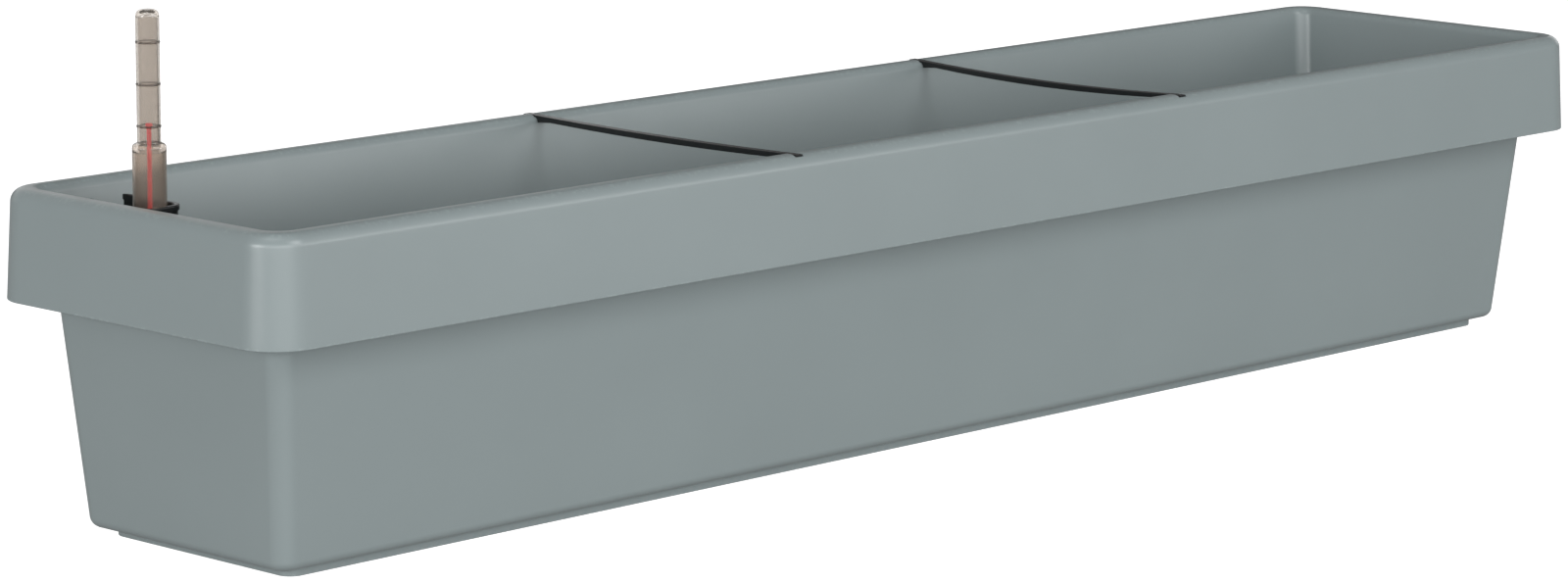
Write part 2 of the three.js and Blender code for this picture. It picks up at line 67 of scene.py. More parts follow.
MM = 0.001
QUARTER = math.pi / 2


def extent(node):
    """Lowest and highest corner of a CAD node, in millimetres."""
    low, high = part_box(node)
    return low / MM, high / MM


def middle_x(node):
    low, high = extent(node)
    return (low.x + high.x) / 2


# ---- Sizes, in millimetres ----

# A rounded rectangle seen from above.
Level = namedtuple("Level", "half_length half_width radius z")

trough_high = extent("planter_box")[1]
RIM_Z = trough_high.z
SKIRT = 54.4
SKIRT_FLARE = 2.75
SKIRT_THICKNESS = 2.6
OUTER_FILLET = 6.5
INNER_FILLET = 5
SHOULDER_Z = RIM_Z - SKIRT
BASE_Z = 4.7
BOTTOM_FILLET = 5
CAVITY_Z = 8
CAVITY_FILLET = 2.5
FOOT_WIDTH = 4
FOOT_EDGE = 0.6
FOOT_ROOT = 0.5  # the fillet between the foot and the underside
SKIRT_EDGE = 0.5

SKIRT_LOW = Level(trough_high.x, trough_high.y, 22.75, SHOULDER_Z)
SKIRT_HIGH = Level(trough_high.x - SKIRT_FLARE, trough_high.y - SKIRT_FLARE, 20, RIM_Z)
BODY_LOW = Level(471.8, 73.6, 9.5, BASE_Z)
BODY_HIGH = Level(481.5, 83.8, 10.5, SHOULDER_Z)
CAVITY_LOW = Level(469.2, 71, 7.5, CAVITY_Z)
CAVITY_MIDDLE = Level(479, 81.3, 8, SHOULDER_Z)
CAVITY_HIGH = Level(485.4, 88.6, 8, RIM_Z - INNER_FILLET)
FOOT = Level(460.6, 65.7, 8, 0)

GAP_ROOF_Z = RIM_Z - 4.5
GAP_CURVE_Z = RIM_Z - 10
GAP_CURVE = 2
RIM_WALL = 3.2  # behind the gap, at its roof

CORNER_STEPS = 16
LONG_STEPS = 24
SHORT_STEPS = 5
FILLET_STEPS = 8
TURNED_STEPS = 64

OVERFLOW_Z = 50
BOSS_RADIUS = 9
BOSS_EDGE = 0.5
BOSS_X = 480.5
BOSS_ROOT = 2.3  # how deep the boss goes into the wall
HOLE_RADIUS = 4.6
PEG_Y = 94.4
PEG_RADIUS = 1.5
PEG_HOLE_RADIUS = 1.9
PEG_HOLE_DEPTH = 8
PEG_LENGTH = 5.5

PLATE_TOP = 62
PLATE_THICKNESS = 2.5
PLATE_BEVEL = 0.35
RIB_Z = 55
RIB_INSET = 1.5
RIB_THICKNESS = 2
FLOOR_RADIUS = 8
LEG_SPACING = 108
LEG_Y = 46.5
LEG_TOP_RADIUS = 11
LEG_FOOT_RADIUS = 8
LEG_WALL = 1.6
LEG_NOTCH = 5
DRAIN = {"length": 24, "width": 3, "radius": 1.45}
DRAIN_PITCH = 36
DRAIN_MARGIN = 3  # between a slot and the shaft
DRAIN_STEPS = (-3.5, -2.5, -1.5, -0.5, 0.5, 1.5, 2.5, 3.5)
WICK_STEP = 1.5  # the drain step that a wick takes up
OUTER_ROW_Y = 66
INNER_ROW_Y = 23
WICK_SLOT = {"length": 26, "width": 4.4, "radius": 1}
WICK_THICKNESS = 2.4

SHAFT_RADIUS = 4
SHAFT_FRONT_RADIUS = 8.5  # the corner that faces the middle of the trough
SHAFT_WALL = 2
LIP_HEIGHT = 2.6
LIP_OUT = 0.8
LIP_EDGE = 0.7
SPOUT_Z = 150
SPOUT_RADIUS = 4
GUIDE_Z = (120, 122)
GUIDE_GAP = 0.6  # round the gauge
SPIGOT_GAP = 0.3
SPIGOT_WALL = 1

GAUGE_WALL = 1.25
SLIM_RADIUS = 5.7
SLIM_WALL = 1.2
GAUGE_MARKS = (30.7, 51, 71.3)  # above the rim
GAUGE_SHOULDER = (20.1, 22.7)  # its start and the neck above it, above the rim

ROD_RADIUS = 1.1

BRACE_WIDTH = 5
BRACE_LOW_Z = RIM_Z - 3.2
BRACE_TOP_Z = RIM_Z - 0.2
BRACE_TAB_Z = RIM_Z - 1
BRACE_TAB_TIP_Y = 99.2
BRACE_GUSSET_Z = RIM_Z - 3.9
BRACE_GUSSET_END_Y = 79
BRACE_GAP = 0.3
BRACE_BEVEL = 0.25
RECESS_WIDTH = 5.8
RECESS_END_Y = 99.8
RECESS_RADIUS = 0.3
BRACE_SAGS = {"brace_left": 1.2, "brace_right": 2.5}

# ---- Making meshes ----


def between(low, high, z, outset=0.0):
    """The level at height z on the straight draft from low to high, grown by outset."""
    share = (z - low.z) / (high.z - low.z)
    size = [a + (b - a) * share + outset for a, b in zip(low[:3], high[:3])]
    return Level(*size, z)


def grown(level, outset, z):
    """A level grown outwards and put at another height."""
    return Level(*(size + outset for size in level[:3]), z)


def ring(level):
    """The points of a level, counter-clockwise from the +X side."""
    x = level.half_length - level.radius
    y = level.half_width - level.radius
    corners = [(x, y), (-x, y), (-x, -y), (x, -y)]
    points = []
    for quarter, (centre_x, centre_y) in enumerate(corners):
        for step in range(CORNER_STEPS + 1):
            angle = (quarter + step / CORNER_STEPS) * QUARTER
            points.append(Vector((
                centre_x + level.radius * math.cos(angle),
                centre_y + level.radius * math.sin(angle),
                level.z,
            )))
        following = (quarter + 1) % 4
        turn = following * QUARTER
        start = points[-1]
        end = Vector((
            corners[following][0] + level.radius * math.cos(turn),
            corners[following][1] + level.radius * math.sin(turn),
            level.z,
        ))
        steps = SHORT_STEPS if quarter % 2 else LONG_STEPS
        points += [start.lerp(end, step / steps) for step in range(1, steps)]
    return points


def skin(outlines, closed=False):
    """A closed mesh through rings of points, capped at its ends or closed on itself."""
    bm = bmesh.new()
    rings = [[bm.verts.new(point) for point in outline] for outline in outlines]
    pairs = list(zip(rings, rings[1:]))
    if closed:
        pairs.append((rings[-1], rings[0]))
    else:
        bm.faces.new(rings[0])
        bm.faces.new(rings[-1])
    for low, high in pairs:
        for index, vertex in enumerate(low):
            before = index - 1
            bm.faces.new((low[before], vertex, high[index], high[before]))
    return bm


def turned(profile, closed=False, steps=TURNED_STEPS):
    """A closed solid of revolution about +Z, from the radius and height of each profile point.

    The profile starts and ends on the axis, or is closed on itself.
    """
    bm = bmesh.new()
    rings = []
    for radius, z in profile:
        if radius == 0:
            rings.append([bm.verts.new((0, 0, z))] * steps)
            continue
        turn = 2 * math.pi / steps
        rings.append([
            bm.verts.new((radius * math.cos(step * turn), radius * math.sin(step * turn), z))
            for step in range(steps)
        ])
    pairs = list(zip(rings, rings[1:]))
    if closed:
        pairs.append((rings[-1], rings[0]))
    for low, high in pairs:
        for index in range(steps):
            corners = [low[index - 1], low[index], high[index], high[index - 1]]
            bm.faces.new(dict.fromkeys(corners))
    return bm


def arc(centre, radius, start, end, steps=FILLET_STEPS):
    """Points of an arc in a plane, from one angle to another in quarter turns."""
    points = []
    for step in range(steps + 1):
        angle = (start + (end - start) * step / steps) * QUARTER
        x = centre[0] + radius * math.cos(angle)
        y = centre[1] + radius * math.sin(angle)
        points.append((x, y))
    return points


def mesh_object(name, bm):
    """A mesh object in millimetres from a bmesh, with its faces turned outwards."""
    bmesh.ops.remove_doubles(bm, verts=bm.verts, dist=1e-4)
    bmesh.ops.recalc_face_normals(bm, faces=bm.faces)
    mesh = bpy.data.meshes.new(name)
    bm.to_mesh(mesh)
    bm.free()
    made = bpy.data.objects.new(name, mesh)
    bpy.context.scene.collection.objects.link(made)
    return made


def plate(name, outlines, thickness, bevel=PLATE_BEVEL):
    """A flat solid with rounded edges, centred on Z = 0, from an outline and the holes in it."""
    curve = bpy.data.curves.new(name, "CURVE")
    curve.dimensions = "2D"
    curve.fill_mode = "BOTH"
    curve.extrude = thickness / 2 - bevel
    curve.bevel_depth = bevel
    curve.bevel_resolution = 2
    curve.offset = -bevel
    for outline in outlines:
        spline = curve.splines.new("POLY")
        spline.points.add(len(outline) - 1)
        for point, (x, y) in zip(spline.points, outline):
            point.co = (x, y, 0, 1)
        spline.use_cyclic_u = True
    shape = bpy.data.objects.new(name, curve)
    bpy.context.scene.collection.objects.link(shape)
    evaluated = shape.evaluated_get(bpy.context.evaluated_depsgraph_get())
    bm = bmesh.new()
    bm.from_mesh(evaluated.to_mesh())
    bpy.data.objects.remove(shape)
    return mesh_object(name, bm)


def boolean(target, tool, operation):
    """Joins a closed mesh with another, or cuts it by that one, and removes the tool."""
    modifier = target.modifiers.new("boolean", "BOOLEAN")
    modifier.object = tool
    modifier.operation = operation
    modifier.solver = "MANIFOLD"
    evaluated = target.evaluated_get(bpy.context.evaluated_depsgraph_get())
    result = bpy.data.meshes.new_from_object(evaluated)
    target.modifiers.clear()
    target.data = result
    bpy.data.objects.remove(tool)
    return target


def moved(target, x=0.0, y=0.0, z=0.0, turn=None):
    """Turns a mesh by a matrix and then moves it, in its own points."""
    matrix = Matrix.Translation((x, y, z))
    if turn is not None:
        matrix = matrix @ turn
    target.data.transform(matrix)
    return target


def copies(target, places):
    """The same mesh at each place, as one object."""
    bm = bmesh.new()
    for place in places:
        before = len(bm.verts)
        bm.from_mesh(target.data)
        bm.verts.ensure_lookup_table()
        bmesh.ops.translate(bm, vec=(*place, 0), verts=bm.verts[before:])
    bpy.data.objects.remove(target)
    return mesh_object("copies", bm)


ALONG_X = Matrix.Rotation(QUARTER, 4, "Y")
ACROSS = Matrix(((0, 0, 1, 0), (1, 0, 0, 0), (0, 1, 0, 0), (0, 0, 0, 1)))  # X, Y to Y, Z
UPRIGHT = Matrix.Rotation(QUARTER, 4, "X")  # X, Y to X, Z

SMOOTH_ANGLE = math.radians(32)


def finish_piece(target, name, node, body, material):
    """Makes a mesh in millimetres into a named piece of the model that stands for a CAD node."""
    target.name = name
    target.data.name = name
    mesh = target.data
    mesh.transform(Matrix.Scale(MM, 4))
    mesh.polygons.foreach_set("use_smooth", [True] * len(mesh.polygons))
    mesh.set_sharp_from_angle(angle=SMOOTH_ANGLE)
    mesh.materials.clear()
    mesh.materials.append(material)
    normals = target.modifiers.new("weighted_normals", "WEIGHTED_NORMAL")
    normals.keep_sharp = True
    normals.weight = 100  # flat faces keep their own normals
    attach(target, body)
    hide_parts(node)
    return target


# ---- Trough ----


def skirt_level(z, outset=0.0):
    return between(SKIRT_LOW, SKIRT_HIGH, z, outset)


def body_level(z, outset=0.0):
    return between(BODY_LOW, BODY_HIGH, z, outset)


def cavity_level(z, outset=0.0):
    if z < SHOULDER_Z:
        return between(CAVITY_LOW, CAVITY_MIDDLE, z, outset)
    return between(CAVITY_MIDDLE, CAVITY_HIGH, z, outset)


def foot_levels():
    """From the middle of the underside, down the foot ring's inside and up its outside."""
    smallest_radius = 0.5
    underside = [(outset, BASE_Z) for outset in (-60, -30, -FOOT_WIDTH - 1)]
    fillet = arc((FOOT_ROOT, BASE_Z - FOOT_ROOT), FOOT_ROOT, 1, 2, 3)
    underside += [(-FOOT_WIDTH - offset, z) for offset, z in fillet]
    tip_in = arc((-FOOT_WIDTH + FOOT_EDGE, FOOT_EDGE), FOOT_EDGE, 2, 3, 4)
    tip_out = arc((-FOOT_EDGE, FOOT_EDGE), FOOT_EDGE, 3, 4, 4)
    for outset, z in [*underside, *tip_in, *tip_out, (0, BASE_Z - 0.3)]:
        radius = max(FOOT.radius + outset, smallest_radius)
        yield Level(FOOT.half_length + outset, FOOT.half_width + outset, radius, z)


def body_levels():
    """From the foot up the outer wall, and behind the skirt to the gap's roof."""
    for x, z in arc((-BOTTOM_FILLET, BASE_Z + BOTTOM_FILLET), BOTTOM_FILLET, 3, 4):
        yield body_level(z, x)
    wall_steps = 6
    first = BASE_Z + BOTTOM_FILLET
    for step in range(1, wall_steps + 1):
        yield body_level(first + (SHOULDER_Z - first) * step / wall_steps)
    wall_top = grown(CAVITY_HIGH, RIM_WALL, GAP_ROOF_Z)
    for step in (0.4, 0.8):
        yield between(BODY_HIGH, wall_top, SHOULDER_Z + (GAP_ROOF_Z - SHOULDER_Z) * step)
    yield between(BODY_HIGH, wall_top, GAP_ROOF_Z - 1)
    yield between(BODY_HIGH, wall_top, GAP_ROOF_Z - 0.3, 0.3)
    yield between(BODY_HIGH, wall_top, GAP_ROOF_Z, 1)


def skirt_levels():
    """From the gap's roof down the inside of the skirt, round its edge and up its outside."""
    yield skirt_level(GAP_ROOF_Z, -SKIRT_THICKNESS - GAP_CURVE)
    for share in (0.25, 0.5, 0.75):
        bulge = GAP_CURVE * (1 - math.sin(share * QUARTER))
        z = GAP_CURVE_Z + (GAP_ROOF_Z - GAP_CURVE_Z) * math.cos(share * QUARTER)
        yield skirt_level(z, -SKIRT_THICKNESS - bulge)
    for z in (GAP_CURVE_Z, GAP_CURVE_Z - 15, SHOULDER_Z + 15):
        yield skirt_level(z, -SKIRT_THICKNESS)
    edge_z = SHOULDER_Z + SKIRT_EDGE
    for x, z in arc((-SKIRT_THICKNESS + SKIRT_EDGE, edge_z), SKIRT_EDGE, 2, 3, 4):
        yield skirt_level(z, x)
    for x, z in arc((-SKIRT_EDGE, edge_z), SKIRT_EDGE, 3, 4, 4):
        yield skirt_level(z, x)
    for z in (SHOULDER_Z + 3, SHOULDER_Z + 15, SHOULDER_Z + 30, RIM_Z - OUTER_FILLET - 2):
        yield skirt_level(z)


def rim_levels():
    """Over the rim, down the inner walls and in to the middle of the bottom."""
    for x, z in arc((-OUTER_FILLET, RIM_Z - OUTER_FILLET), OUTER_FILLET, 0, 1, 12):
        yield skirt_level(z, x)
    for x, z in arc((INNER_FILLET, CAVITY_HIGH.z), INNER_FILLET, 1, 2, 12):
        yield grown(CAVITY_HIGH, x, z)
    for z in (CAVITY_HIGH.z - 2, RIM_Z - 20, RIM_Z - 40, SHOULDER_Z, 90, 60, 35):
        yield cavity_level(z)
    last = CAVITY_Z + CAVITY_FILLET
    for x, z in arc((-CAVITY_FILLET, last), CAVITY_FILLET, 4, 3, 5):
        yield cavity_level(z, x)
    for outset in (-9, -35, -60):
        level = cavity_level(CAVITY_Z, outset)
        yield level._replace(radius=max(level.radius, 1.5))


def overflow_tube(inner_x, outer_x, radius, edge=0.0):
    """A round bar along X on the overflow's axis, its outer end bevelled by edge."""
    profile = [(0, inner_x), (radius, inner_x), (radius, outer_x - edge)]
    if edge:
        profile.append((radius - edge, outer_x))
    profile.append((0, outer_x))
    return moved(mesh_object("bar", turned(profile)), z=OVERFLOW_Z, turn=ALONG_X)


def brace_recesses():
    """What is cut from the rims' crests for the braces' tabs."""
    start = CAVITY_HIGH.half_width - 1
    floor_z = BRACE_TAB_Z - BRACE_GAP
    height = 3  # past the crest
    side = RECESS_WIDTH / 2
    outline = rectangle(start, RECESS_END_Y, -side, side, RECESS_RADIUS, RECESS_RADIUS, 3)
    tool = moved(plate("recess", [outline], height, 0), z=floor_z + height / 2)
    turns = [Matrix.Rotation(side * QUARTER, 4, "Z") for side in (-1, 1)]
    bm = bmesh.new()
    for name in BRACE_SAGS:
        place = Matrix.Translation((middle_x(name), 0, 0))
        for turn in turns:
            before = len(bm.verts)
            bm.from_mesh(tool.data)
            bm.verts.ensure_lookup_table()
            bmesh.ops.transform(bm, matrix=place @ turn, verts=bm.verts[before:])
    bpy.data.objects.remove(tool)
    return mesh_object("recesses", bm)


def add_trough(material):
    levels = [*foot_levels(), *body_levels(), *skirt_levels(), *rim_levels()]
    trough = mesh_object("trough", skin(ring(level) for level in levels))
    wall_x = body_level(OVERFLOW_Z).half_length
    boolean(trough, overflow_tube(wall_x - BOSS_ROOT, BOSS_X, BOSS_RADIUS, BOSS_EDGE), "UNION")
    boolean(trough, overflow_tube(wall_x - 20, BOSS_X + 1, HOLE_RADIUS), "DIFFERENCE")
    low_z, high_z = RIM_Z - PEG_HOLE_DEPTH, RIM_Z + 1
    hole = turned([(0, low_z), (PEG_HOLE_RADIUS, low_z), (PEG_HOLE_RADIUS, high_z), (0, high_z)])
    places = [(middle_x(name), side * PEG_Y) for name in BRACE_SAGS for side in (-1, 1)]
    boolean(trough, brace_recesses(), "DIFFERENCE")
    boolean(trough, copies(mesh_object("hole", hole), places), "DIFFERENCE")
    finish_piece(trough, "trough_shell", "planter_box", "trough", material)


def add_stopper(material):
    low, high = extent("overflow_plug")
    stem = 4.25
    flange = (high.y - low.y) / 2
    grip = 3.4
    flange_x = BOSS_X + 0.3
    grip_x = flange_x + 2
    waist = stem - 0.35
    profile = [(0, low.x), (stem - 0.9, low.x), (stem - 0.4, low.x + 0.5), (stem, low.x + 2.2)]
    profile += [(stem, flange_x - 3.2), (waist, flange_x - 2.8), (waist, flange_x - 1.2)]
    profile += [(stem, flange_x - 0.8), (stem, flange_x), (flange - 0.3, flange_x)]
    profile += arc((flange - 0.9, grip_x - 0.9), 0.9, 0, 1, 5)
    profile += [(grip + 0.7, grip_x), (grip + 0.2, grip_x + 0.2), (grip, grip_x + 0.7)]
    for groove in range(3):
        x = grip_x + 1.1 + groove
        profile += [(grip, x), (grip - 0.25, x + 0.2), (grip - 0.25, x + 0.4), (grip, x + 0.6)]
    profile += arc((grip - 0.7, high.x - 0.7), 0.7, 0, 1, 4)
    profile += [(1.4, high.x), (1.0, high.x - 0.4), (0, high.x - 0.5)]
    stopper = moved(mesh_object("stopper", turned(profile)), z=OVERFLOW_Z, turn=ALONG_X)
    finish_piece(stopper, "overflow_stopper", "overflow_plug", "plug", material)


# ---- False floor ----


def rectangle(
    low_x, high_x, low_y, high_y, left_radius, right_radius, steps=FILLET_STEPS, last_radius=None
):
    """An outline with round corners, with one radius at its left end and another at its right.

    The last radius, if it is given, is that of the right end's lower corner.
    """
    last_radius = last_radius or right_radius
    corners = [
        (high_x - right_radius, high_y - right_radius, right_radius),
        (low_x + left_radius, high_y - left_radius, left_radius),
        (low_x + left_radius, low_y + left_radius, left_radius),
        (high_x - last_radius, low_y + last_radius, last_radius),
    ]
    points = []
    for quarter, (x, y, radius) in enumerate(corners):
        points += arc((x, y), radius, quarter, quarter + 1, steps)
    return points


def slot_outline(x, y, size):
    half_length = size["length"] / 2
    half_width = size["width"] / 2
    sides = (x - half_length, x + half_length, y - half_width, y + half_width)
    return rectangle(*sides, size["radius"], size["radius"], 5)


def shaft_outline(inset):
    """The shaft seen from above, from its outside inwards."""
    low, high = extent("fill_shaft")
    step = LIP_OUT + inset
    sides = (low.x + step, high.x - step, low.y + step, high.y - step)
    radius = SHAFT_RADIUS - inset
    return rectangle(*sides, radius, radius, last_radius=SHAFT_FRONT_RADIUS - inset)


def drain_places(centre_x, keep_clear):
    """Rows of drain slots. The inner rows leave room for the wicks."""
    inner = [step for step in DRAIN_STEPS if abs(step) != WICK_STEP]
    rows = [(DRAIN_STEPS, -OUTER_ROW_Y), (DRAIN_STEPS, OUTER_ROW_Y)]
    rows += [(inner, y) for y in (-INNER_ROW_Y, 0, INNER_ROW_Y)]
    places = [(centre_x + step * DRAIN_PITCH, y) for steps, y in rows for step in steps]
    return [place for place in places if not keep_clear(*place)]


def near_shaft(x, y):
    low, high = extent("fill_shaft")
    margin = DRAIN_MARGIN - LIP_OUT
    reach = DRAIN["length"] / 2 + margin
    return low.x - reach < x < high.x + reach and low.y - margin < y < high.y + margin


def leg():
    """A hollow leg with a rounded foot and two crossed notches."""
    foot_z = CAVITY_Z + 0.3
    roof_z = PLATE_TOP - PLATE_THICKNESS - LEG_WALL
    top_z = PLATE_TOP - PLATE_THICKNESS / 2
    top_bore = LEG_TOP_RADIUS - LEG_WALL
    foot_bore = LEG_FOOT_RADIUS - LEG_WALL
    root = LEG_TOP_RADIUS + 1  # its fillet under the plate
    profile = [(0, roof_z), (top_bore - 1, roof_z), (top_bore, roof_z - 1)]
    profile += [(foot_bore, foot_z + 0.3), (foot_bore + 0.3, foot_z)]
    profile += [(LEG_FOOT_RADIUS - 0.4, foot_z), (LEG_FOOT_RADIUS, foot_z + 0.4)]
    profile += [(LEG_TOP_RADIUS, roof_z - 0.5), (LEG_TOP_RADIUS + 0.3, roof_z + 0.7)]
    profile += [(root, roof_z + LEG_WALL + 0.2), (root, top_z), (0, top_z)]
    made = mesh_object("leg", turned(profile, steps=40))
    for turn in (0, QUARTER):
        outline = rectangle(-LEG_NOTCH / 2, LEG_NOTCH / 2, -LEG_NOTCH, LEG_NOTCH, 1.2, 1.2, 4)
        notch = plate("notch", [outline], 2 * LEG_TOP_RADIUS + 4, 0)
        moved(notch, z=foot_z, turn=Matrix.Rotation(turn, 4, "Z") @ UPRIGHT)
        boolean(made, notch, "DIFFERENCE")
    return made


def section_outline(node, inset):
    """A floor section seen from above: round where it fits the trough's ends."""
    low, high = extent(node)
    square = 0.8
    left_radius = FLOOR_RADIUS - inset if node == "floor_left" else square
    right_radius = FLOOR_RADIUS - inset if node == "floor_right" else square
    sides = (low.x + inset, high.x - inset, low.y + inset, high.y - inset)
    return rectangle(*sides, left_radius, right_radius)


def add_floor(side, material):
    node = f"floor_{side}"
    centre_x = middle_x(node)
    wick_y = extent(f"wick_{side}_1")[1].y - WICK_THICKNESS / 2
    keep_clear = near_shaft if side == "left" else (lambda x, y: False)
    outlines = [section_outline(node, 0)]
    outlines += [slot_outline(x, y, DRAIN) for x, y in drain_places(centre_x, keep_clear)]
    for wick in (1, 2):
        x = middle_x(f"wick_{side}_{wick}")
        outlines += [slot_outline(x, y, WICK_SLOT) for y in (-wick_y, wick_y)]
    if side == "left":
        outlines.append(shaft_outline(SHAFT_WALL + SPIGOT_GAP + SPIGOT_WALL))
    slab_z = PLATE_TOP - PLATE_THICKNESS / 2
    floor = moved(plate(node, outlines, PLATE_THICKNESS), z=slab_z)

    rib_height = slab_z - RIB_Z
    rib_lines = [section_outline(node, RIB_INSET), section_outline(node, RIB_INSET + RIB_THICKNESS)]
    rib = moved(plate("rib", rib_lines, rib_height, 0.3), z=RIB_Z + rib_height / 2)
    boolean(floor, rib, "UNION")
    places = [(centre_x + step * LEG_SPACING, y) for step in (-1, 0, 1) for y in (-LEG_Y, LEG_Y)]
    boolean(floor, copies(leg(), places), "UNION")
    if side == "left":
        outer = SHAFT_WALL + SPIGOT_GAP
        lines = [shaft_outline(outer), shaft_outline(outer + SPIGOT_WALL)]
        spigot_height = extent(node)[1].z - slab_z
        spigot = moved(plate("spigot", lines, spigot_height, 0.2), z=slab_z + spigot_height / 2)
        boolean(floor, spigot, "UNION")
    finish_piece(floor, f"false_floor_{side}", node, f"{side}_floor", material)


# ---- Wicks ----

WICK_BEND = 3  # outer radius where the strip turns down
FELT_STEP = 1.1
FELT_RELIEF = 0.16
FELT_LUMPS = 0.55  # scale of the relief


def wick_path(half_span, foot_z, top_z):
    """The strip's middle line, as points in Y and Z with the direction that faces out."""
    radius = WICK_BEND - WICK_THICKNESS / 2
    y = half_span - WICK_BEND
    z = top_z - WICK_BEND
    side = half_span - WICK_THICKNESS / 2
    tail = z - foot_z
    tail_steps = round(tail / FELT_STEP)
    top_steps = round(2 * y / FELT_STEP)
    points = [(side, foot_z + tail * step / tail_steps, 0) for step in range(tail_steps)]
    points += [(y + radius * math.cos(a), z + radius * math.sin(a), a) for a in bend_angles(0)]
    points += [(y - 2 * y * step / top_steps, z + radius, QUARTER) for step in range(1, top_steps)]
    points += [(-y + radius * math.cos(a), z + radius * math.sin(a), a) for a in bend_angles(1)]
    for step in range(1, tail_steps + 1):
        points.append((-side, z - tail * step / tail_steps, 2 * QUARTER))
    return points


def bend_angles(quarter):
    """Directions over one quarter turn, from a given quarter."""
    steps = 5
    return [(quarter + step / steps) * QUARTER for step in range(steps + 1)]


def add_wick(side, number, material):
    node = f"wick_{side}_{number}"
    low, high = extent(node)
    centre_x = middle_x(node)
    half_width = (high.x - low.x) / 2
    depths = (-WICK_THICKNESS / 2, WICK_THICKNESS / 2)
    edge = 0.7
    across = dense(rectangle(-half_width, half_width, *depths, edge, edge, 3), FELT_STEP)
    bm = bmesh.new()
    rings = []
    path = wick_path(high.y, low.z, high.z)
    for y, z, facing in path:
        outwards = Vector((0, math.cos(facing), math.sin(facing)))
        points = []
        for x, depth in across:
            point = Vector((centre_x + x, y, z)) + outwards * depth
            fuzz = noise.noise(point * FELT_LUMPS) * FELT_RELIEF - FELT_RELIEF
            sidewise = 1 if depth > 0 else -1
            points.append(bm.verts.new(point + outwards * fuzz * sidewise))
        rings.append(points)
    for before, after in zip(rings, rings[1:]):
        for index in range(len(across)):
            bm.faces.new((before[index - 1], before[index], after[index], after[index - 1]))
    bm.faces.new(rings[0])
    bm.faces.new(rings[-1])
    wick = mesh_object(node, bm)
    length = sum(math.dist(a[:2], b[:2]) for a, b in zip(path, path[1:]))
    piece = finish_piece(wick, f"felt_{side}_{number}", node, f"{side}_floor", material)


def dense(outline, spacing):
    """The outline with its long straights divided."""
    points = []
    for index, (x, y) in enumerate(outline):
        before = outline[index - 1]
        run_x, run_y = x - before[0], y - before[1]
        steps = max(1, round(math.dist(before, (x, y)) / spacing))
        for step in range(1, steps + 1):
            share = step / steps
            points.append((before[0] + run_x * share, before[1] + run_y * share))
    return points


# ---- Fill shaft ----


def add_shaft(material):
    low, high = extent("fill_shaft")
    lip_z = high.z - LIP_HEIGHT
    edge_z = high.z - LIP_EDGE
    half_z = (low.z + lip_z) / 2
    chamfer = 0.3
    wall = -SHAFT_WALL
    profile = [(-chamfer, low.z), (0, low.z + chamfer), (0, half_z), (0, lip_z - LIP_OUT)]
    profile += [(0.2, lip_z - 0.2), (LIP_OUT, lip_z)]
    profile += arc((LIP_OUT - LIP_EDGE, edge_z), LIP_EDGE, 0, 1, 5)
    profile += arc((wall + LIP_EDGE, edge_z), LIP_EDGE, 1, 2, 4)
    profile += [(wall, lip_z), (wall, half_z), (wall, low.z + chamfer), (wall + chamfer, low.z)]
    rings = [[(x, y, z) for x, y in shaft_outline(-outset)] for outset, z in profile]
    tube = mesh_object("shaft", skin(rings, closed=True))

    gauge_low, gauge_high = extent("gauge_tube")
    gauge_y = (gauge_low.y + gauge_high.y) / 2
    gauge_radius = (gauge_high.x - gauge_low.x) / 2
    within = SHAFT_WALL / 2  # the guide's edge ends inside the wall
    inset = LIP_OUT + within
    sides = (low.x + inset, high.x - inset, low.y + inset, gauge_high.y + 3)
    radius = SHAFT_RADIUS - within
    outline = rectangle(*sides, radius, radius, last_radius=SHAFT_FRONT_RADIUS - within)
    steps = 48
    turn = 4 - 4 / steps
    hole = arc((middle_x("gauge_tube"), gauge_y), gauge_radius + GUIDE_GAP, 0, turn, steps - 1)
    guide = plate("guide", [outline, hole], GUIDE_Z[1] - GUIDE_Z[0], 0.3)
    boolean(tube, moved(guide, z=sum(GUIDE_Z) / 2), "UNION")

    inset = LIP_OUT + SHAFT_WALL
    sides = (low.x + inset, high.x - inset, SPOUT_Z, high.z + 9)
    spout = plate("spout", [rectangle(*sides, SPOUT_RADIUS, SPOUT_RADIUS)], 8, 0)
    boolean(tube, moved(spout, y=high.y - LIP_OUT, turn=UPRIGHT), "DIFFERENCE")
    finish_piece(tube, "shaft_tube", "fill_shaft", "shaft", material)


# ---- Float gauge ----


# Radius and height of a ring's outside, from the slim part's surface and the ring's middle.
MARK_PROFILE = [(0, -0.6), (0.12, -0.45), (0.3, -0.15), (0.3, 0.15), (0.12, 0.45), (0, 0.6)]


def at_gauge(target):
    low, high = extent("gauge_tube")
    return moved(target, middle_x("gauge_tube"), (low.y + high.y) / 2)


